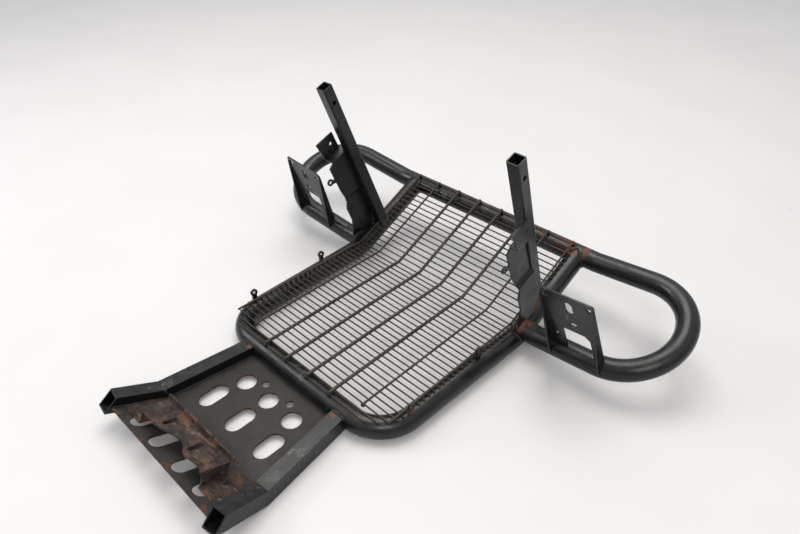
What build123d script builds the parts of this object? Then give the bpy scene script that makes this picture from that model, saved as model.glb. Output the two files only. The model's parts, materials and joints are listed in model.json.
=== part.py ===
"""Front brush guard for a quad bike, lying on its front face: tube frame, mesh grille, skid plate."""
import os
from math import cos, radians, sin, tan

from build123d import *

# Main frame tubes, millimetres
tube_od = 38.0
tube_wall = 2.0
tube_r = tube_od / 2
front_run_y = -280.0
corner_x = 196.0
corner_radius = 69.0
kink_x = 206.0
kink_y = 62.0
kink_radius = 90.0

# Upper loop with the two ears
loop_depth = 194.0
loop_tilt = 20.0
near_run_z = 38.0
sweep_x = 244.0
sweep_angle = 7.6
sweep_radius = 60.0
ear_straight = 116.0
far_run_y = kink_y + loop_depth * cos(radians(loop_tilt))
far_run_z = near_run_z + loop_depth * sin(radians(loop_tilt))

# Mesh grille
wire_d = 2.8
rod_d = 4.0
thick_rod_d = 6.0
wire_pitch = 12.0
last_flat_wire_y = kink_y - 8.4
first_slope_y = kink_y - 7.6
front_overhang = 2.4
mesh_slope = 25.1
rod_pitch = 55.5
mesh_half_width = 202.0
flat_wire_count = round((last_flat_wire_y - front_run_y + front_overhang) / wire_pitch) + 1
slope_wire_count = 17
weld_bite = 0.02

# Skid plate and its two rails
rail_w = 26.0
rail_h = 28.0
rail_wall = 2.0
rail_bottom = 2.0
rail_outer_x = 130.4
rail_ref_y = front_run_y - 24.0
rail_splay = 7.4
bend_y = front_run_y - 174.0
bend_up = 23.0
rail_top_run = 75.0
rail_bottom_run = 101.0
skid_t = 3.0
skid_top = 10.9
skid_front_run = 91.0
skid_lip = 7.0
skid_slot_x = 74.4
skid_slot_y = bend_y + 55.0
skid_hole_y = front_run_y - 64.0
skid_bolt_y = front_run_y - 45.0
skid_slot_len = 53.0
skid_slot_w = 30.0
skid_hole_d = 34.0
skid_bolt_d = 14.0

# Bolt-on mount bracket across the front of the skid plate
mount_half = 84.0
mount_rise = 26.0
mount_t = 3.0
mount_rear = 22.0
mount_front = 71.0
mount_lip = 8.0
mount_slot_x = 34.2
mount_slot_len = 25.0
mount_slot_w = 8.0

# Upright posts
post_w = 22.0
post_wall = 2.0
post_length = 420.0
post_top = (205.5, -11.4, 395.8)
post_lean = -0.392
post_splay = 0.021
post_hole_d = 8.5
post_hole_drop = 33.0

# Lamp brackets on the ears
lamp_t = 3.0
lamp_a = 40.0
lamp_b = 136.0
lamp_top = 161.0
lamp_flange = 19.0

# Views used for flat pieces
side_view = Plane(origin=(0, 0, 0), x_dir=(0, 1, 0), z_dir=(1, 0, 0))

# Strip brackets and ring tabs
strip_t = 3.0
strip_low_x = 212.0
strip_mid_x = 206.0
strip_high_x = 222.0
strip_lean = 21.4
ring_od = 14.0
ring_hole = 7.0
ring_t = 4.0
ring_x = 203.0
ring_seats = {"front": (front_run_y + 61, 53.0), "middle": (kink_y - 115, 57.0)}


def rounded_path(points, radii):
    """Wire through the points with a tangent arc at every inner one."""
    pts = [Vector(*p) for p in points]
    edges = []
    start = pts[0]
    for i in range(1, len(pts) - 1):
        to_last = (pts[i - 1] - pts[i]).normalized()
        to_next = (pts[i + 1] - pts[i]).normalized()
        half = radians(to_last.get_angle(to_next)) / 2
        run = radii[i - 1] / tan(half)
        middle = (to_last + to_next).normalized()
        a = pts[i] + to_last * run
        b = pts[i] + to_next * run
        m = pts[i] + middle * (radii[i - 1] / sin(half) - radii[i - 1])
        if (a - start).length > 1e-4:
            edges.append(Edge.make_line(start, a))
        edges.append(Edge.make_three_point_arc(a, m, b))
        start = b
    edges.append(Edge.make_line(start, pts[-1]))
    return Wire(edges)


def pipe(path, r):
    """Round bar of radius r along a path."""
    start = Plane(origin=path @ 0, z_dir=path % 0)
    return sweep(start * Circle(r), path=path)


def bar(a, b, r):
    """Round bar of radius r between two points."""
    a = Vector(*a)
    b = Vector(*b)
    plane = Plane(origin=a, z_dir=b - a)
    return plane * Cylinder(r, (b - a).length, align=(Align.CENTER, Align.CENTER, Align.MIN))


def slab(view, outline, t):
    """Flat sheet of thickness t, raised from a view plane along its normal."""
    return extrude(view * outline, t, dir=view.z_dir)


def side_points():
    """Centre line of the right side tube from the far run down to the front run."""
    k = (far_run_z - tube_r) / (far_run_y - kink_y)
    top_y = far_run_y - 1.5
    return [
        (kink_x + 1, top_y, tube_r + k * (top_y - kink_y)),
        (kink_x, kink_y, tube_r),
        (corner_x, front_run_y, tube_r),
    ]


def lower_path():
    right = side_points()
    left = [(-x, y, z) for x, y, z in reversed(right)]
    return rounded_path(right + left, [kink_radius, corner_radius, corner_radius, kink_radius])


def loop_path():
    """Open centre line: near run, right ear, far run, left ear, near run."""
    tilt = radians(loop_tilt)
    sweep_up = radians(sweep_angle)
    across = Vector(0, cos(tilt), sin(tilt))
    normal = Vector(0, -sin(tilt), cos(tilt))
    out = Vector(cos(sweep_up), 0, 0) + normal * sin(sweep_up)
    near = Vector(sweep_x, kink_y, near_run_z)
    reach = out * (ear_straight + loop_depth / 2)
    corners = [
        Vector(kink_x, kink_y, near_run_z),
        near,
        near + reach,
        near + reach + across * loop_depth,
        near + across * loop_depth,
    ]
    right = [tuple(v) for v in corners]
    left = [(-x, y, z) for x, y, z in reversed(right)]
    end = loop_depth / 2 - 0.02
    radii = [sweep_radius, end, end, sweep_radius]
    return rounded_path(right + left, radii + radii)


def ear_plane():
    """Local frame of the right near run: X along the ear, Z up the lamp plate."""
    tilt = radians(loop_tilt)
    sweep_up = radians(sweep_angle)
    normal = Vector(0, -sin(tilt), cos(tilt))
    out = Vector(cos(sweep_up), 0, 0) + normal * sin(sweep_up)
    across = Vector(0, cos(tilt), sin(tilt))
    return Plane(origin=(sweep_x, kink_y, near_run_z), x_dir=out, z_dir=-across)


def lower_frame_tube(paths):
    outer = pipe(paths["lower"], tube_r)
    inner = pipe(paths["lower"], tube_r - tube_wall)
    return outer - inner - pipe(paths["loop"], tube_r)


def upper_loop_tube(paths):
    outer = pipe(paths["loop"], tube_r)
    inner = pipe(paths["loop"], tube_r - tube_wall)
    for side in (-1, 1):
        pts = [(side * x, y, z) for x, y, z in side_points()]
        outer -= pipe(rounded_path([pts[1], pts[2]], []), tube_r)
        far_end = (pts[1][0], kink_y + 160, tube_r + 160 * tan(radians(mesh_slope)))
        reach = rounded_path([far_end, pts[1], pts[2]], [kink_radius])
        outer -= pipe(reach, tube_r) & Pos(0, kink_y, 40) * Box(600, 90, 120)
        inner -= Pos(side * (kink_x + tube_wall / 2), kink_y, near_run_z) * Box(tube_wall, 60, 60)
    return outer - inner


def mesh_line():
    """Slope direction of the upper part of the mesh, in the Y-Z plane."""
    rise = radians(mesh_slope)
    return cos(rise), sin(rise)


def wire_half(y, z):
    """Half length of a cross wire: short beside the ring tabs and the feet of the posts."""
    half = mesh_half_width
    for seat_y, seat_z in ring_seats.values():
        if abs(y - seat_y) < ring_od / 2 + wire_d / 2 + 0.5:
            half = ring_x - ring_t / 2 - 1
    foot_y = post_top[1] + (z - post_top[2]) * post_lean
    if abs(y - foot_y) < 0.75 * post_w:
        half = post_top[0] - post_splay * (post_top[2] - z) - post_w / 2 - 1.5
    return half


def mesh_cross_wires():
    wires = []
    z = tube_od + wire_d / 2
    for i in range(flat_wire_count):
        y = last_flat_wire_y - wire_pitch * (flat_wire_count - 1 - i)
        inset = max(0.0, front_run_y + 45 - y)
        half = wire_half(y, z) - inset * inset / 60
        wires.append(bar((-half, y, z), (half, y, z), wire_d / 2))
    run, rise = mesh_line()
    for i in range(1, slope_wire_count + 1):
        y = first_slope_y + wire_pitch * i * run
        up = z + wire_pitch * i * rise
        half = wire_half(y, up)
        wires.append(bar((-half, y, up), (half, y, up), wire_d / 2))
    return Compound(children=wires)


def mesh_long_rod(x, front_y, d):
    """Long rod that lies on the cross wires and follows the kink."""
    z = tube_od + wire_d + d / 2 - weld_bite
    run, rise = mesh_line()
    length = wire_pitch * slope_wire_count + 2
    shift = tan(radians(mesh_slope / 2)) * (wire_d / 2 + d / 2)
    bend = first_slope_y - shift
    path = rounded_path([(x, front_y, z), (x, bend, z), (x, bend + length * run, z + length * rise)], [14])
    return pipe(path, d / 2)


def mesh_long_rods(columns, front_y, d, posts=()):
    rods = []
    for column in columns:
        for side in (-1, 1):
            rod = mesh_long_rod(side * rod_pitch * column, front_y, d)
            for upright in posts:
                rod -= upright
            rods += list(rod.solids())
    return Compound(children=rods)


def slope_plane(side_z=skid_top):
    """Frame of the bent-up front: X across, Y up the slope, Z out of the plate."""
    a = radians(bend_up)
    return Plane(origin=(0, bend_y, side_z), x_dir=(-1, 0, 0), z_dir=(0, sin(a), cos(a)))


def rail_profile(inset):
    """Side view of a rail, in the rail's own vertical plane."""
    a = radians(bend_up)
    half = tan(a / 2)
    top = rail_bottom + rail_h - inset
    low = rail_bottom + inset
    lift = rail_h - inset
    bottom_bend = (rail_h - inset) * half
    ahead = 40.0 if inset else 0.0
    back = front_run_y + (30 if inset else 0)
    pts = [(back, top), (bend_y - inset * half, top)]
    top_reach = rail_top_run + ahead
    end_top = (bend_y - top_reach * cos(a), rail_bottom + rail_h + top_reach * sin(a))
    end_low = (
        bend_y - rail_h * half - (rail_bottom_run - rail_h * half + ahead) * cos(a),
        rail_bottom + (rail_bottom_run - rail_h * half + ahead) * sin(a),
    )
    shift = Vector(-sin(a), -cos(a), 0) * inset
    pts.append((end_top[0] + shift.X, end_top[1] + shift.Y))
    pts.append((end_low[0] - shift.X, end_low[1] - shift.Y))
    pts.append((bend_y - bottom_bend, low))
    pts.append((back, low))
    return Polygon(*pts, align=None)


def skid_rail(side, paths):
    """Rectangular rail, coped to the front run and cut at a slant at its open end."""
    outer = slab(side_view, rail_profile(0), rail_w)
    inner = slab(side_view, rail_profile(rail_wall), rail_w - 2 * rail_wall)
    rail = outer - Pos(rail_wall, 0, 0) * inner
    rail = Pos(-rail_w, -rail_ref_y, 0) * rail
    rail = Pos(rail_outer_x, rail_ref_y, 0) * Rot(0, 0, rail_splay) * rail
    if side < 0:
        rail = mirror(rail, about=Plane.YZ)
    return rail - pipe(paths["lower"], tube_r)


def rail_inner_x(y):
    """Distance of a rail's inner face from the middle at a given depth."""
    lean = radians(rail_splay)
    return rail_outer_x - rail_w / cos(lean) + (rail_ref_y - y) * tan(lean)


def slot_cut(length, width, depth):
    return extrude(SlotOverall(length, width, rotation=90), depth, both=True)


def skid_plate(paths):
    a = radians(bend_up)
    half = tan(a / 2)
    low = skid_top - skid_t
    front_y = bend_y - skid_front_run * cos(a)
    front_z = skid_top + skid_front_run * sin(a)
    down = (-skid_lip * sin(a) * -1, -skid_lip * cos(a))
    profile = Polygon(
        (front_run_y, skid_top),
        (bend_y, skid_top),
        (front_y, front_z),
        (front_y + down[0], front_z + down[1]),
        (front_y + down[0] + skid_t * cos(a), front_z + down[1] - skid_t * sin(a)),
        (front_y + skid_t * cos(a) + skid_t * sin(a), front_z - skid_t * sin(a) - skid_t * cos(a)),
        (bend_y - skid_t * half, low),
        (front_run_y, low),
        align=None,
    )
    plate = Pos(-200, 0, 0) * slab(side_view, profile, 400)
    back_y = front_run_y
    plan = Polygon(
        (-rail_inner_x(back_y), back_y),
        (rail_inner_x(back_y), back_y),
        (rail_inner_x(front_y - 20), front_y - 20),
        (-rail_inner_x(front_y - 20), front_y - 20),
        align=None,
    )
    plate &= slab(Plane.XY, plan, 150)
    for x in (-skid_slot_x, 0, skid_slot_x):
        plate -= Pos(x, skid_slot_y, skid_top) * slot_cut(skid_slot_len, skid_slot_w, 10)
    for x in (-60, 0, 60):
        plate -= Pos(x, skid_hole_y, skid_top) * Cylinder(skid_hole_d / 2, 20)
    for x in (-32, 32):
        plate -= Pos(x, skid_bolt_y, skid_top) * Cylinder(skid_bolt_d / 2, 20)
    for x in (-87, -32, 32, 87):
        plate -= slope_plane() * Pos(x, 58, 0) * slot_cut(48, 25, 6)
    for side in (-1, 1):
        plate -= slope_plane() * Pos(side * 98, 36, 0) * Cylinder(5, 12)
    return plate - pipe(paths["lower"], tube_r)


def lower_mount_bracket():
    """Hat section on the bent-up part of the plate, wavy front edge, lip along the rear."""
    rise = mount_rise
    length = mount_front - mount_rear
    middle = (mount_front + mount_rear) / 2
    hat = Pos(0, middle, rise + mount_t / 2) * Box(2 * mount_half, length, mount_t)
    for side in (-1, 1):
        hat += Pos(side * (mount_half - mount_t / 2), middle + 2, rise / 2) * Box(mount_t, length - 6, rise)
        wide = 128 - mount_half
        flange_x = side * (mount_half + wide / 2 - 1)
        hat += Pos(flange_x, middle + 2, mount_t / 2) * Box(wide + 2, length - 2, mount_t)
    lip_z = rise + (mount_lip + mount_t) / 2
    lip = Box(2 * mount_half + 6, mount_t, mount_lip + mount_t)
    hat += Pos(0, mount_rear + mount_t / 2, lip_z) * lip
    waves = [(-84, 77), (-66, 70), (-48, 73), (-36, 73), (-22, 64), (11, 66), (29, 73), (56, 75), (84, 75)]
    edge = Spline(*[(x, s) for x, s in waves])
    shape = make_face(Wire([
        edge,
        Line((84, 75), (84, 60)),
        Line((84, 60), (-84, 60)),
        Line((-84, 60), (-84, 77)),
    ]))
    keep = Pos(0, 0, rise) * slab(Plane.XY, shape, mount_t)
    cut = Pos(0, 80, rise + mount_t / 2) * Box(2 * mount_half - 2 * mount_t, 40, mount_t)
    hat = hat - cut + keep
    for side in (-1, 1):
        hat -= Pos(side * mount_slot_x, 52, rise + 2) * slot_cut(mount_slot_len, mount_slot_w, 8)
        hat -= Pos(side * 98, 36, 2) * slot_cut(15, 10, 8)
    bottom = Pos(0, 0, -20) * Box(400, 400, 40)
    bracket = slope_plane() * (hat - bottom)
    plan = []
    for y in (bend_y + 24, bend_y - 106):
        plan.append((rail_inner_x(y), y))
    plan += [(-x, y) for x, y in reversed(plan)]
    return bracket & slab(Plane.XY, Polygon(*plan, align=None), 150)


def post_plane():
    axis = Vector(post_splay, post_lean, 1).normalized()
    return Plane(origin=post_top, x_dir=(cos(post_splay), 0, -post_splay), z_dir=axis)


def post(side, paths):
    """Square upright, coped onto the upper side tube, open at the top."""
    frame = post_plane()
    outer = Box(post_w, post_w, post_length, align=(Align.CENTER, Align.CENTER, Align.MAX))
    outer = fillet(outer.edges().filter_by(Axis.Z), 2.5)
    inner_w = post_w - 2 * post_wall
    inner = Box(inner_w, inner_w, post_length + 2, align=(Align.CENTER, Align.CENTER, Align.MAX))
    solid = frame * (outer - Pos(0, 0, 1) * inner)
    hole = frame.from_local_coords((0, 0, -post_hole_drop))
    solid -= Pos(hole.X, hole.Y, hole.Z) * Rot(0, 90, 0) * Cylinder(post_hole_d / 2, 60)
    foot = side_points()
    run = (Vector(*foot[0]) - Vector(*foot[1])).normalized()
    under = Plane(origin=foot[1], z_dir=(0, -run.Z, run.Y))
    solid -= under * Pos(0, 0, -200) * Box(900, 900, 400)
    if side < 0:
        solid = mirror(solid, about=Plane.YZ)
    return solid - pipe(paths["lower"], tube_r)


def lamp_bracket(side, paths):
    """Upright plate on the near run of an ear with two tapered side flanges."""
    a, b, top = lamp_a, lamp_b, lamp_top
    face = Polygon(
        (a, 0), (b, 0), (b, top - 3), (b - 3, top), (a + 9, top), (a + 2.6, top - 2.6), (a, top - 9),
        align=None,
    )
    window = Polygon((68, -5), (118, -5), (118, 64), (109, 73), (68, 73), align=None)
    holes = Pos(48.7, 145) * SlotOverall(16, 7)
    holes += Pos(90, 133) * SlotOverall(28, 14, rotation=90)
    holes += Pos(92, 92.6) * SlotOverall(14, 8)
    holes += Pos(54, 49) * Circle(4)
    holes += Pos(125.5, 147) * Polygon((-6, 6), (6, 6), (3, -6), align=None)
    plate = extrude(face - window - holes, lamp_t / 2, both=True)
    reach = lamp_flange
    wing = Polygon((0, 0), (0, top - 9), (2.5, top - 10), (reach, 16), (reach, 0), align=None)
    for at in (a, b - lamp_t):
        wing_view = Plane(origin=(at + lamp_t, 0, 0), x_dir=(0, 0, 1), z_dir=(-1, 0, 0))
        plate += slab(wing_view, wing, lamp_t)
    bracket = ear_plane() * plate
    if side < 0:
        bracket = mirror(bracket, about=Plane.YZ)
    return bracket - pipe(paths["loop"], tube_r)


def strip_bracket(side, paths):
    """Joggled strip welded by its edge to the front of the post, with a ring on its free edge."""
    a = radians(strip_lean)
    across = Vector(0, cos(a), sin(a))
    rear = 126.0
    view = Plane(origin=across * rear, x_dir=(1, 0, 0), z_dir=-across)
    low, mid, high, t = strip_low_x, strip_mid_x, strip_high_x, strip_t
    inner = [(low, -40), (low, 122), (mid, 131), (mid, 228), (high, 231), (high, 271)]
    outer = [(high + t, 271), (high + t, 228), (mid + t, 225), (mid + t, 132), (low + t, 123), (low + t, -40)]
    strip = slab(view, Polygon(*inner, *outer, align=None), 66)
    edge = [
        (47, 30), (46, 90), (33, 122), (34, 139), (15, 172), (-10, 231),
        (-2, 241), (-9, 249), (-26, 281), (13, 297), (65, 180), (118, 75), (118, 30),
    ]
    strip &= slab(side_view, Polygon(*edge, align=None), 400)
    view = Plane(origin=(mid, -10.5, 203), x_dir=(0, 1, 0), z_dir=(1, 0, 0))
    ring = Circle(ring_od / 2) + Pos(8, -1) * Rectangle(14, 8)
    strip += slab(view, ring, t)
    strip -= Pos(mid, -10.5, 203) * Rot(0, 90, 0) * Cylinder(ring_hole / 2, 12)
    strip -= Pos(high, 9, 274) * Rot(0, 90, 0) * Cylinder(3.5, 20)
    strip -= post_block()
    if side < 0:
        strip = mirror(strip, about=Plane.YZ)
    return strip - pipe(paths["lower"], tube_r) - pipe(paths["loop"], tube_r)


def post_block():
    """Space the post stands in, over its whole length."""
    return post_plane() * Box(post_w, post_w, 2 * post_length)


def ring_tab(side, seat, paths):
    y, z = seat
    view = Plane(origin=(ring_x - ring_t / 2, y, z), x_dir=(0, 1, 0), z_dir=(1, 0, 0))
    neck = z - tube_od + 6
    outline = Circle(ring_od / 2) + Pos(0, -neck / 2) * Rectangle(9, neck)
    tab = slab(view, outline - Circle(ring_hole / 2), ring_t)
    if side < 0:
        tab = mirror(tab, about=Plane.YZ)
    return tab - pipe(paths["lower"], tube_r)


def build():
    paths = {"lower": lower_path(), "loop": loop_path()}
    uprights = {name: post(side, paths) for name, side in (("left", -1), ("right", 1))}
    nodes = {
        "lower_frame_tube": lower_frame_tube(paths),
        "upper_loop_tube": upper_loop_tube(paths),
        "mesh_cross_wires": mesh_cross_wires(),
        "mesh_long_rods_inner": mesh_long_rods((0.5, 1.5), front_run_y - 4, thick_rod_d),
        "mesh_long_rods_outer": mesh_long_rods((2.5, 3.5), front_run_y + 18, rod_d, uprights.values()),
        "skid_plate": skid_plate(paths),
        "lower_mount_bracket": lower_mount_bracket(),
    }
    for name, side in (("left", -1), ("right", 1)):
        nodes["skid_rail_" + name] = skid_rail(side, paths)
        nodes["post_" + name] = uprights[name]
        nodes["lamp_bracket_" + name] = lamp_bracket(side, paths)
        nodes["strip_bracket_" + name] = strip_bracket(side, paths)
        for seat, where in ring_seats.items():
            nodes["ring_tab_" + seat + "_" + name] = ring_tab(side, where, paths)
    return nodes


def main():
    nodes = build()
    box = Compound([s for n in nodes.values() for s in n.solids()]).bounding_box()
    shift = Location((0, -(box.min.Y + box.max.Y) / 2, -box.min.Z))
    print("moved by", shift.position, "size", box.size)
    os.makedirs("parts", exist_ok=True)
    for name, shape in nodes.items():
        solids = [s.moved(shift) for s in shape.solids()]
        whole = solids[0] if len(solids) == 1 else Compound(solids)
        print(name, len(solids), round(sum(s.volume for s in solids)))
        export_step(whole, "parts/" + name + ".step")


main()
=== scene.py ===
import math
import random

import bmesh
import bpy
from mathutils import Matrix, Vector, noise
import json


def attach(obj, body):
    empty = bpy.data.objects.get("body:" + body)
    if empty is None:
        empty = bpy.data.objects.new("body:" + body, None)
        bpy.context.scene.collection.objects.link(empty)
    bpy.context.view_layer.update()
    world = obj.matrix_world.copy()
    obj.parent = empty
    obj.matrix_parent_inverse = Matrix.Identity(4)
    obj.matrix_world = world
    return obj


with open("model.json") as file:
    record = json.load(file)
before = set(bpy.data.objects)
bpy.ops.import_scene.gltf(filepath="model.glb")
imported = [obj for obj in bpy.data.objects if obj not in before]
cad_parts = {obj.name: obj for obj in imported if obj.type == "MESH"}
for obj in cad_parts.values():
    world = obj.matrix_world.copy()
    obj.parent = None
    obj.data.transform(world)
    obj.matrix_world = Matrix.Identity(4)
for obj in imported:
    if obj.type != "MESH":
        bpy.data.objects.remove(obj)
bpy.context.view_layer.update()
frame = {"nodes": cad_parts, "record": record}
print("frame loaded")

# Shared places of the frame, in metres; depths without yShift are in the part's own origin
yShift = 0.142722  # from the part's own origin to the middle of its box
plateAngle = math.radians(23.0)  # bend of the skid plate's front
plateBendY = -0.454
tubeR = 0.019
farAxis = Vector((0, 0.244300 + yShift, 0.104352))
kinkY = 0.062 + yShift
slopeDir = Vector((0, 0.9056, 0.4241))
slopeUp = Vector((0, -0.4241, 0.9056))


def clearSlot(name):
    mat = bpy.data.materials.get(name) or bpy.data.materials.new(name)
    mat.use_nodes = True
    mat.node_tree.nodes.clear()
    return mat


class Graph:
    def __init__(self, mat):
        self.mat = mat
        self.nodes = mat.node_tree.nodes
        self.links = mat.node_tree.links
        self.coords = self.nodes.new("ShaderNodeTexCoord").outputs["Object"]

    def add(self, kind, **values):
        node = self.nodes.new(kind)
        for key, value in values.items():
            setattr(node, key, value)
        return node

    def put(self, socket, value):
        if isinstance(value, bpy.types.NodeSocket):
            self.links.new(value, socket)
        else:
            socket.default_value = value

    def noise(self, scale, detail=4.0, rough=0.6, stretch=None):
        node = self.add("ShaderNodeTexNoise")
        source = self.coords
        if stretch:
            mapping = self.add("ShaderNodeMapping")
            mapping.inputs["Scale"].default_value = stretch
            self.links.new(source, mapping.inputs["Vector"])
            source = mapping.outputs["Vector"]
        self.links.new(source, node.inputs["Vector"])
        node.inputs["Scale"].default_value = scale
        node.inputs["Detail"].default_value = detail
        node.inputs["Roughness"].default_value = rough
        return node.outputs["Fac"]

    def step(self, value, low, high, top=1.0):
        node = self.add("ShaderNodeMapRange", interpolation_type="SMOOTHSTEP")
        self.put(node.inputs["Value"], value)
        node.inputs["From Min"].default_value = low
        node.inputs["From Max"].default_value = high
        node.inputs["To Min"].default_value = 0.0
        node.inputs["To Max"].default_value = top
        return node.outputs["Result"]

    def math(self, kind, a, b):
        node = self.add("ShaderNodeMath", operation=kind)
        node.use_clamp = kind == "ADD"  # masks and roughness stay within 1
        self.put(node.inputs[0], a)
        self.put(node.inputs[1], b)
        return node.outputs[0]

    def mix(self, mask, a, b):
        node = self.add("ShaderNodeMix", data_type="RGBA")
        self.put(node.inputs["Factor"], mask)
        for socket, value in ((node.inputs[6], a), (node.inputs[7], b)):
            self.put(socket, value if isinstance(value, bpy.types.NodeSocket) else (*value, 1.0))
        return node.outputs[2]

    # Mask that is 1 near any of the places and breaks up in noise towards their radius
    def near(self, places, ragged):
        total = 0.0
        for x, y, z, radius in places:
            node = self.add("ShaderNodeVectorMath", operation="DISTANCE")
            self.links.new(self.coords, node.inputs[0])
            node.inputs[1].default_value = (x, y, z)
            spread = self.math("MULTIPLY", node.outputs["Value"], 1.0 / radius)
            ball = self.step(self.math("SUBTRACT", self.math("MULTIPLY", ragged, 1.7), spread), 0.0, 0.25)
            total = self.math("MAXIMUM", ball, total)
        return total

    # Thin rim round upright holes: x, y, half length along Y, radius
    def rims(self, holes, width, ragged):
        split = self.add("ShaderNodeSeparateXYZ")
        self.links.new(self.coords, split.inputs[0])
        total = 0.0
        for x, y, half, radius in holes:
            across = self.math("SUBTRACT", split.outputs["X"], x)
            along = self.add("ShaderNodeMath", operation="ABSOLUTE")
            self.put(along.inputs[0], self.math("SUBTRACT", split.outputs["Y"], y))
            beyond = self.math("MAXIMUM", self.math("SUBTRACT", along.outputs[0], half), 0.0)
            # a clamped ADD would cut the square short, so it is written as a difference
            minus = self.math("MULTIPLY", beyond, self.math("MULTIPLY", beyond, -1.0))
            square = self.math("SUBTRACT", self.math("MULTIPLY", across, across), minus)
            reach = self.math("SQRT", square, 0.0)
            edge = self.math("ADD", self.math("MULTIPLY", ragged, width * 1.6), radius)
            rim = self.step(self.math("SUBTRACT", edge, reach), 0.0, width * 0.5)
            total = self.math("MAXIMUM", rim, total)
        return total

    def upward(self):
        geometry = self.add("ShaderNodeNewGeometry")
        split = self.add("ShaderNodeSeparateXYZ")
        self.links.new(geometry.outputs["Normal"], split.inputs[0])
        return split.outputs["Z"]


# Rust patches at the welds: x, y, z, radius
weldRust = [
    (0.214, 0.206, 0.052, 0.024),
    (0.208, 0.238, 0.070, 0.018),
    (0.222, 0.384, 0.112, 0.019),
    (0.200, 0.370, 0.118, 0.013),
    (-0.218, 0.208, 0.050, 0.009),
    (-0.212, 0.386, 0.112, 0.010),
    (0.112, -0.156, 0.030, 0.009),
    (-0.110, -0.156, 0.030, 0.008),
    (0.130, 0.379, 0.121, 0.008),
]


# Worn black paint: fading, dust on upward faces, scuffs, chips and rust patches
def paint(name, s):
    mat = clearSlot(name)
    g = Graph(mat)
    fine = g.noise(s["fineScale"], 6.0, 0.7)
    wide = g.noise(s["wideScale"], 5.0, 0.62)
    grime = g.noise(s["grimeScale"], 8.0, 0.7)
    streak = g.noise(s["streakScale"], 6.0, 0.65, s["streak"])
    ragged = g.noise(s["raggedScale"], 7.0, 0.7)
    colour = g.mix(g.step(wide, 0.35, 0.7), s["base"], s["faded"])
    dusty = g.math("MULTIPLY", g.step(grime, 0.42, 0.72), g.step(g.upward(), 0.1, 0.9, s["dust"]))
    colour = g.mix(dusty, colour, s["dustColour"])
    scuffs = g.math("MULTIPLY", g.step(streak, 0.60, 0.68), g.step(fine, 0.42, 0.60, s["scuff"]))
    colour = g.mix(scuffs, colour, s["scuffColour"])
    flakes = g.step(g.noise(s["flakeScale"], 3.0, 0.5), 0.70, 0.735)
    chips = g.math("MULTIPLY", flakes, g.step(wide, 0.50, 0.62, s["chips"]))
    colour = g.mix(chips, colour, s["chipColour"])
    rust = g.near(s["rust"], ragged)
    if s.get("rims"):
        rims = g.rims(s["rims"], s["rimWidth"], ragged)
        rust = g.math("MAXIMUM", rust, g.math("MULTIPLY", rims, s["rimRust"]))
    rustColour = g.mix(g.step(fine, 0.35, 0.65), s["rustDark"], s["rustLight"])
    rustColour = g.mix(g.step(grime, 0.55, 0.75, 0.6), rustColour, s["rustGrime"])
    colour = g.mix(rust, colour, rustColour)
    rough = g.math("ADD", g.step(grime, 0.3, 0.8, s["roughSpread"]), s["rough"])
    rough = g.math("ADD", rough, g.math("MULTIPLY", g.math("ADD", rust, dusty), 0.45))
    scale = g.math("MULTIPLY", g.math("MULTIPLY", ragged, rust), 2.2)
    height = g.math("ADD", g.math("MULTIPLY", fine, 0.35), scale)
    bump = g.add("ShaderNodeBump")
    bump.inputs["Strength"].default_value = s["bump"]
    bump.inputs["Distance"].default_value = s["bumpDepth"]
    g.links.new(height, bump.inputs["Height"])
    edges = g.add("ShaderNodeBevel", samples=4)
    edges.inputs["Radius"].default_value = s["edgeRadius"]
    g.links.new(edges.outputs["Normal"], bump.inputs["Normal"])
    shader = g.add("ShaderNodeBsdfPrincipled")
    g.links.new(colour, shader.inputs["Base Color"])
    g.links.new(rough, shader.inputs["Roughness"])
    g.links.new(bump.outputs["Normal"], shader.inputs["Normal"])
    shader.inputs["Specular IOR Level"].default_value = s["specular"]
    out = g.add("ShaderNodeOutputMaterial")
    g.links.new(shader.outputs["BSDF"], out.inputs["Surface"])
    return mat


common = {
    "fineScale": 220.0,
    "wideScale": 9.0,
    "grimeScale": 34.0,
    "raggedScale": 60.0,
    "flakeScale": 150.0,
    "base": (0.0035, 0.0035, 0.0038),
    "faded": (0.0080, 0.0080, 0.0080),
    "dust": 0.16,
    "dustColour": (0.060, 0.050, 0.041),
    "scuff": 0.5,
    "scuffColour": (0.13, 0.13, 0.125),
    "streak": (1.0, 1.0, 0.25),
    "streakScale": 26.0,
    "chips": 0.6,
    "chipColour": (0.16, 0.13, 0.10),
    "rust": weldRust,
    "rustDark": (0.050, 0.021, 0.012),
    "rustLight": (0.150, 0.058, 0.030),
    "rustGrime": (0.045, 0.022, 0.014),
    "rough": 0.20,
    "roughSpread": 0.22,
    "bump": 0.35,
    "bumpDepth": 0.0006,
    "edgeRadius": 0.0011,
    "specular": 0.36,
}

framePaint = paint("frame_paint", common)

bracketPaint = paint("bracket_paint", {
    **common,
    "base": (0.0040, 0.0040, 0.0044),
    "faded": (0.0105, 0.0105, 0.0105),
    "scuff": 0.75,
    "scuffColour": (0.20, 0.19, 0.165),
    "dust": 0.15,
    "rough": 0.24,
    "rust": [
        (0.208, 0.255, 0.070, 0.026),
        (0.200, 0.262, 0.062, 0.026),
        (-0.206, 0.262, 0.062, 0.014),
        (0.203, -0.076, 0.040, 0.010),
        (-0.203, 0.090, 0.040, 0.008),
    ],
})

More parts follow.
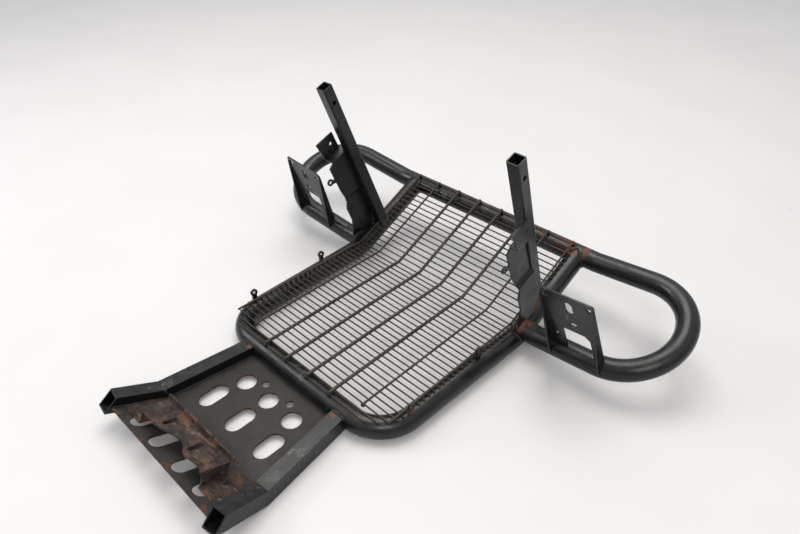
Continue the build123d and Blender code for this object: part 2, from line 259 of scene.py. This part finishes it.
# Rust at the bracket's flanges and along the front edge, and the rims of the flat plate's holes
skidRust = []
for x in (-0.125, -0.096, 0.092, 0.126):
    skidRust.append((x, -0.326, 0.022, 0.020))
for x in (-0.120, -0.05, 0.02, 0.118):
    skidRust.append((x, -0.394, 0.045, 0.012))
plateHoles = {"holeY": -0.344, "boltY": -0.325, "slotY": -0.399}
skidRims = [(x, plateHoles["holeY"] + yShift, 0.0, 0.017) for x in (-0.060, 0.0, 0.060)]
skidRims += [(x, plateHoles["boltY"] + yShift, 0.0, 0.007) for x in (-0.032, 0.032)]
skidRims += [(x, plateHoles["slotY"] + yShift, 0.0115, 0.015) for x in (-0.0744, 0.0, 0.0744)]

skidPaint = paint("skid_paint", {
    **common,
    "base": (0.0095, 0.0088, 0.0080),
    "faded": (0.019, 0.016, 0.0135),
    "dust": 0.42,
    "dustColour": (0.055, 0.044, 0.034),
    "rust": skidRust,
    "rims": skidRims,
    "rimWidth": 0.0016,
    "rimRust": 0.85,
    "rustDark": (0.026, 0.017, 0.012),
    "rustLight": (0.085, 0.046, 0.026),
    "rough": 0.50,
    "specular": 0.35,
    "streak": (0.4, 1.0, 1.0),
    "scuff": 0.2,
    "scuffColour": (0.06, 0.055, 0.05),
})

meshPaint = paint("mesh_paint", {
    **common,
    "base": (0.013, 0.011, 0.009),
    "faded": (0.036, 0.027, 0.019),
    "dust": 0.5,
    "dustColour": (0.12, 0.085, 0.055),
    "chips": 0.9,
    "chipColour": (0.14, 0.065, 0.030),
    "rust": [(0.18, 0.375, 0.12, 0.030), (0.13, 0.378, 0.12, 0.012), (0.13, 0.16, 0.05, 0.010)],
    "rough": 0.5,
})


# Bare rusted steel: brown scale, orange bloom, pale pits and deep bump
def rustySteel(name, s):
    mat = clearSlot(name)
    g = Graph(mat)
    grime = g.noise(55.0, 9.0, 0.75)
    wide = g.noise(30.0, 5.0, 0.65)
    fine = g.noise(310.0, 5.0, 0.7)
    pits = g.noise(105.0, 6.0, 0.7, (0.5, 1.0, 1.0))
    colour = g.mix(g.step(grime, 0.42, 0.60), s["dark"], s["brown"])
    colour = g.mix(g.step(wide, 0.52, 0.62, 0.8), colour, s["orange"])
    colour = g.mix(g.step(pits, 0.55, 0.66, 0.8), colour, s["pale"])
    colour = g.mix(g.step(fine, 0.56, 0.68, 0.6), colour, s["dark"])
    height = g.math("MULTIPLY", g.math("MULTIPLY", pits, 2.0), g.math("MULTIPLY", grime, 2.0))
    bump = g.add("ShaderNodeBump")
    bump.inputs["Strength"].default_value = 1.0
    bump.inputs["Distance"].default_value = 0.0025
    g.links.new(height, bump.inputs["Height"])
    shader = g.add("ShaderNodeBsdfPrincipled")
    g.links.new(colour, shader.inputs["Base Color"])
    g.links.new(bump.outputs["Normal"], shader.inputs["Normal"])
    g.links.new(g.math("ADD", g.step(wide, 0.3, 0.7, 0.2), 0.52), shader.inputs["Roughness"])
    shader.inputs["Specular IOR Level"].default_value = 0.35
    out = g.add("ShaderNodeOutputMaterial")
    g.links.new(shader.outputs["BSDF"], out.inputs["Surface"])
    return mat


bracketRust = rustySteel("rusty_steel", {
    "dark": (0.016, 0.012, 0.010),
    "brown": (0.060, 0.036, 0.025),
    "orange": (0.135, 0.062, 0.034),
    "pale": (0.170, 0.130, 0.095),
})
weldSteel = rustySteel("weld_steel", {
    "dark": (0.010, 0.009, 0.009),
    "brown": (0.040, 0.022, 0.016),
    "orange": (0.140, 0.055, 0.026),
    "pale": (0.060, 0.045, 0.035),
})
weldBlack = paint("weld_black", {
    **common,
    "rust": [(0.222, 0.208, 0.052, 0.05), (0.214, 0.387, 0.108, 0.05)],
})
print("materials made")

for name, mat in (
    ("frame_paint", framePaint),
    ("bracket_paint", bracketPaint),
    ("skid_paint", skidPaint),
    ("mesh_paint", meshPaint),
    ("rusty_steel", bracketRust),
):
    for part in frame["record"]["subparts"]:
        if part["material_slot"] == name:
            mesh = frame["nodes"][part["node"]].data
            mesh.materials.clear()
            mesh.materials.append(mat)


# Points at even steps along a line
def evenPoints(points, closed, spacing):
    line = [Vector(p) for p in points]
    if closed:
        line.append(line[0])
    lengths = [(b - a).length for a, b in zip(line, line[1:])]
    total = sum(lengths)
    count = max(6, int(total / spacing))
    samples = []
    for i in range(count + (0 if closed else 1)):
        d = total * i / count
        k = 0
        while k < len(lengths) - 1 and d > lengths[k]:
            d -= lengths[k]
            k += 1
        samples.append(line[k].lerp(line[k + 1], min(1.0, d / max(lengths[k], 1e-9))))
    return samples, total / count


beadShape = {"spacing": 0.0008, "sides": 8, "least": 0.78, "ripple": 0.22, "uneven": 0.06, "end": 0.4}


# A rippled weld bead: one ring of edges, extruded and resized step by step along the line
def bead(name, points, size, closed=False, mat=weldBlack, ripple=0.0032, seed=1):
    rand = random.Random(seed)
    samples, spacing = evenPoints(points, closed, beadShape["spacing"])
    n = len(samples)
    places = []
    side = None
    for i, p in enumerate(samples):
        if closed:
            t = (samples[(i + 1) % n] - samples[i - 1]).normalized()
        else:
            t = (samples[min(i + 1, n - 1)] - samples[max(i - 1, 0)]).normalized()
        side = (side - t * side.dot(t)).normalized() if side else t.orthogonal().normalized()
        wave = 0.5 + 0.5 * math.cos(2 * math.pi * i * spacing / ripple)
        uneven = beadShape["uneven"] * rand.uniform(-1, 1)
        radius = size * (beadShape["least"] + beadShape["ripple"] * wave + uneven)
        if not closed and i in (0, n - 1):
            radius *= beadShape["end"]
        turn = Matrix((side, t.cross(side), t)).transposed().to_4x4()
        places.append(Matrix.Translation(p) @ turn @ Matrix.Scale(radius, 4))
    bm = bmesh.new()
    bmesh.ops.create_circle(bm, segments=beadShape["sides"], radius=1.0, matrix=places[0])
    first = list(bm.edges)
    ring = first
    for last, place in zip(places, places[1:]):
        made = bmesh.ops.extrude_edge_only(bm, edges=ring)["geom"]
        verts = {v for v in made if isinstance(v, bmesh.types.BMVert)}
        ring = [e for e in made if isinstance(e, bmesh.types.BMEdge) and verts.issuperset(e.verts)]
        bmesh.ops.transform(bm, matrix=place @ last.inverted(), verts=list(verts))
    if closed:
        bmesh.ops.bridge_loops(bm, edges=first + ring)
    else:
        bmesh.ops.holes_fill(bm, edges=first + ring, sides=beadShape["sides"])
    bmesh.ops.recalc_face_normals(bm, faces=bm.faces)
    for face in bm.faces:
        face.smooth = True
    mesh = bpy.data.meshes.new(name)
    bm.to_mesh(mesh)
    bm.free()
    piece = bpy.data.objects.new(name, mesh)
    bpy.context.scene.collection.objects.link(piece)
    mesh.materials.append(mat)
    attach(piece, "root")


# Round bar against round bar: how far one surface stands out at a height from its middle
def reachAt(height):
    return math.sqrt(max(tubeR ** 2 - height * height, 0.0))


farWeld = {"size": 0.0024, "steps": 48, "x": 0.2068, "seed": 3}
nearWeld = {"size": 0.0026, "steps": 48, "x": 0.206, "z": 0.038, "least": 0.0005, "seed": 8}
postWeld = {
    "size": 0.0022,
    "middle": (0.1988, 0.1218),
    "corners": ((-11, -12), (9, -12), (11, -12), (11, 12), (-11, 12)),  # millimetres
    "tubeX": 0.2063,
    "slope": 0.4684,
    "stretch": 1.1042,  # a level slice through the sloping tube is this much longer
    "seed": 12,
}
railWeld = {
    "size": 0.0022,
    "corners": ((0.1035, 0.006), (0.1035, 0.030), (0.1293, 0.030), (0.1293, 0.006)),
    "frontRunY": -0.280,
    "seed": 15,
}


# Side tube's upper end against the far run
def farLine(side):
    line = []
    for i in range(farWeld["steps"]):
        a = 2 * math.pi * i / farWeld["steps"]
        h = tubeR * math.sin(a)
        p = farAxis + slopeUp * h - slopeDir * reachAt(h)
        line.append((side * (farWeld["x"] + tubeR * math.cos(a)), p.y, p.z))
    return line


# Near run of an ear against the side tube
def nearLine(side):
    line = []
    for i in range(nearWeld["steps"]):
        a = 2 * math.pi * i / nearWeld["steps"]
        z = nearWeld["z"] + tubeR * math.sin(a)
        reach = reachAt(z - tubeR) if z < nearWeld["z"] else 0.0
        x = nearWeld["x"] + max(reach, nearWeld["least"])
        line.append((side * x, kinkY + tubeR * math.cos(a), z))
    return line


# Foot of an upright on the sloping side tube
def postLine(side):
    line = []
    for x, y in postWeld["corners"]:
        cx = postWeld["middle"][0] + x / 1000
        cy = postWeld["middle"][1] + yShift + y / 1000
        axisZ = tubeR + (cy - kinkY) * postWeld["slope"]
        top = reachAt(cx - postWeld["tubeX"]) * postWeld["stretch"]
        line.append((side * cx, cy, axisZ + top))
    return line


# End of a rail on the front run, open underneath
def railLine(side):
    front = railWeld["frontRunY"] + yShift
    return [(side * x, front - reachAt(z - tubeR), z) for x, z in railWeld["corners"]]


for side, word, mat in ((-1, "Left", weldBlack), (1, "Right", weldSteel)):
    bead("farWeld" + word, farLine(side), farWeld["size"], True, mat, seed=farWeld["seed"] + side)
    bead("nearWeld" + word, nearLine(side), nearWeld["size"], True, mat, seed=nearWeld["seed"] + side)
    bead("postWeld" + word, postLine(side), postWeld["size"], True, mat, seed=postWeld["seed"] + side)
    bead("railWeld" + word, railLine(side), railWeld["size"], False, seed=railWeld["seed"] + side)
print("tube welds made")

plateWeld = {
    "size": 0.0019,
    "ripple": 0.0045,
    "depths": (-0.300, -0.350, -0.400, -0.454, -0.490, -0.535),
    "z": 0.0115,
    "climb": 0.4245,
    "inset": 0.0006,
    "seed": 20,
}
railFace = {"x": 0.1304, "width": 0.026, "fromY": -0.304, "splay": math.radians(7.4)}
frontSeam = {"size": 0.0018, "ripple": 0.005, "half": 0.098, "y": -0.2973, "z": 0.0113, "seed": 30}


# Inner face of a rail at a depth
def railInner(y):
    lean = railFace["splay"]
    return railFace["x"] - railFace["width"] / math.cos(lean) + (railFace["fromY"] - y) * math.tan(lean)


# Seams between the skid plate, the rails and the front run
for side, word in ((-1, "Left"), (1, "Right")):
    seam = []
    for y in plateWeld["depths"]:
        z = plateWeld["z"] + max(0.0, plateBendY - y) * plateWeld["climb"]
        seam.append((side * (railInner(y) - plateWeld["inset"]), y + yShift, z))
    bead("plateWeld" + word, seam, plateWeld["size"], False, skidPaint, plateWeld["ripple"],
         plateWeld["seed"] + side)
frontLine = [(x, frontSeam["y"] + yShift, frontSeam["z"]) for x in (-frontSeam["half"], frontSeam["half"])]
bead("frontSeam", frontLine, frontSeam["size"], False, skidPaint, frontSeam["ripple"],
     frontSeam["seed"])
print("plate seams made")


# A small domed blob pressed flat along its own up direction
def blob(name, spot, size, tilt, mat):
    bm = bmesh.new()
    bmesh.ops.create_uvsphere(bm, u_segments=20, v_segments=12, radius=1.0)
    turn = Matrix.Rotation(tilt, 3, "X")
    for v in bm.verts:
        rough = 1.0 + 0.10 * noise.noise(v.co * 2.3 + Vector(spot) * 90)
        v.co = Vector(spot) + turn @ Vector((v.co.x * size[0], v.co.y * size[1], v.co.z * size[2])) * rough
    for face in bm.faces:
        face.smooth = True
    mesh = bpy.data.meshes.new(name)
    bm.to_mesh(mesh)
    bm.free()
    piece = bpy.data.objects.new(name, mesh)
    bpy.context.scene.collection.objects.link(piece)
    mesh.materials.append(mat)
    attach(piece, "root")


# Pressed domes on the rusty bracket, placed up the slope and out from the plate
dome = {"x": 0.0635, "up": 0.049, "out": 0.0288, "plateTop": 0.0109, "size": (0.0105, 0.0165, 0.0024)}
for side, word in ((-1, "Left"), (1, "Right")):
    y = plateBendY - dome["up"] * math.cos(plateAngle) + dome["out"] * math.sin(plateAngle)
    z = dome["plateTop"] + dome["up"] * math.sin(plateAngle) + dome["out"] * math.cos(plateAngle)
    spot = (side * dome["x"], y + yShift, z)
    blob("bracketDome" + word, spot, dome["size"], -plateAngle, bracketRust)

# Tack welds where the long rods meet the front run and the far run
rods = {"pitch": 0.0555, "columns": (0.5, 1.5, 2.5, 3.5), "thickUpTo": 2, "outerColumn": 3.5}
frontTack = {"thickY": -0.283, "thinY": -0.261, "z": 0.0408, "size": (0.0042, 0.0038, 0.0030)}
farTack = {"y": 0.2388, "z": 0.1268, "size": (0.0040, 0.0038, 0.0034), "tilt": 0.43}
tacks = 0
for column in rods["columns"]:
    for side in (-1, 1):
        x = side * rods["pitch"] * column
        front = frontTack["thickY"] if column < rods["thickUpTo"] else frontTack["thinY"]
        if column < rods["outerColumn"]:
            spot = (x, front + yShift, frontTack["z"])
            blob("tackFront%d" % tacks, spot, frontTack["size"], 0.0, weldBlack)
        spot = (x, farTack["y"] + yShift, farTack["z"])
        blob("tackFar%d" % tacks, spot, farTack["size"], farTack["tilt"], weldBlack)
        tacks += 1
print("domes and tack welds made")


# Plain floor, wide enough for every side
def plainFloor(name, half, mat):
    bm = bmesh.new()
    bmesh.ops.create_grid(bm, x_segments=1, y_segments=1, size=half)
    mesh = bpy.data.meshes.new(name)
    bm.to_mesh(mesh)
    bm.free()
    thing = bpy.data.objects.new(name, mesh)
    bpy.context.scene.collection.objects.link(thing)
    mesh.materials.append(mat)


def plainMaterial(name, s):
    mat = clearSlot(name)
    g = Graph(mat)
    shader = g.add("ShaderNodeBsdfPrincipled")
    blotch = g.noise(3.0, 3.0, 0.5)
    pale = g.mix(g.step(blotch, 0.3, 0.7), s["colour"], tuple(c * s["blotch"] for c in s["colour"]))
    dots = g.step(g.noise(95.0, 2.0, 0.4), 0.735, 0.76)
    specks = g.math("MULTIPLY", dots, g.step(g.noise(6.0, 2.0, 0.5), 0.5, 0.7, 0.5))
    g.links.new(g.mix(specks, pale, s["specks"]), shader.inputs["Base Color"])
    shader.inputs["Roughness"].default_value = s["rough"]
    shader.inputs["Specular IOR Level"].default_value = s["specular"]
    out = g.add("ShaderNodeOutputMaterial")
    g.links.new(shader.outputs["BSDF"], out.inputs["Surface"])
    return mat


floorLook = {
    "half": 14.0,
    "colour": (0.585, 0.578, 0.575),
    "blotch": 0.97,
    "specks": (0.30, 0.32, 0.36),
    "rough": 0.5,
    "specular": 0.2,
}
plainFloor("floor", floorLook["half"], plainMaterial("floor_white", floorLook))
print("stage made")


# Soft light from above and from both sides
def areaLight(name, s):
    data = bpy.data.lights.new(name, "AREA")
    data.shape = "RECTANGLE"
    data.size, data.size_y = s["size"], s["size"]
    data.energy = s["power"]
    data.color = s["colour"]
    lamp = bpy.data.objects.new(name, data)
    lamp.location = s["spot"]
    aim = Vector(s["target"]) - Vector(s["spot"])
    lamp.rotation_euler = aim.to_track_quat("-Z", "Y").to_euler()
    bpy.context.scene.collection.objects.link(lamp)


lights = {
    "topLight": {
        "spot": (-0.6, 0.7, 2.9), "target": (-0.1, 0.1, 0), "size": 2.0, "power": 62,
        "colour": (1.0, 0.98, 0.96),
    },
    "leftLight": {
        "spot": (-1.7, -1.0, 1.5), "target": (0, 0, 0.1), "size": 0.9, "power": 14,
        "colour": (0.97, 0.98, 1.0),
    },
    "rightLight": {
        "spot": (1.5, -1.2, 1.8), "target": (0, 0.1, 0.1), "size": 0.8, "power": 18,
        "colour": (1.0, 0.98, 0.95),
    },
}
for name, settings in lights.items():
    areaLight(name, settings)

# Sky that is greyer near the horizon
skyLook = {
    "low": 0.05,
    "lowColour": (0.42, 0.43, 0.45, 1.0),
    "high": 0.75,
    "highColour": (1.0, 1.0, 1.0, 1.0),
    "strength": 0.9,
}
world = bpy.data.worlds.new("softWorld")
bpy.context.scene.world = world
world.use_nodes = True
sky = world.node_tree
coords = sky.nodes.new("ShaderNodeTexCoord")
split = sky.nodes.new("ShaderNodeSeparateXYZ")
ramp = sky.nodes.new("ShaderNodeValToRGB")
horizon, zenith = ramp.color_ramp.elements
horizon.position = skyLook["low"]
horizon.color = skyLook["lowColour"]
zenith.position = skyLook["high"]
zenith.color = skyLook["highColour"]
sky.links.new(coords.outputs["Generated"], split.inputs[0])
sky.links.new(split.outputs["Z"], ramp.inputs["Fac"])
sky.links.new(ramp.outputs["Color"], sky.nodes["Background"].inputs["Color"])
sky.nodes["Background"].inputs["Strength"].default_value = skyLook["strength"]

cameraLook = {
    "spot": (0.6435, -0.5641, 0.7977),
    "direction": (-0.557, 0.584, -0.590),
    "sensor": 36.0,
    "lens": 28.49,
    "nearest": 0.01,
}
camera = bpy.data.cameras.new("camera")
camera.sensor_width = cameraLook["sensor"]
camera.lens = cameraLook["lens"]
camera.clip_start = cameraLook["nearest"]
cameraObject = bpy.data.objects.new("camera", camera)
cameraObject.location = cameraLook["spot"]
look = Vector(cameraLook["direction"]).normalized()
cameraObject.rotation_euler = look.to_track_quat("-Z", "Y").to_euler()
bpy.context.scene.collection.objects.link(cameraObject)
bpy.context.scene.camera = cameraObject
bpy.context.scene.view_settings.view_transform = "Standard"
print("camera and lights set")
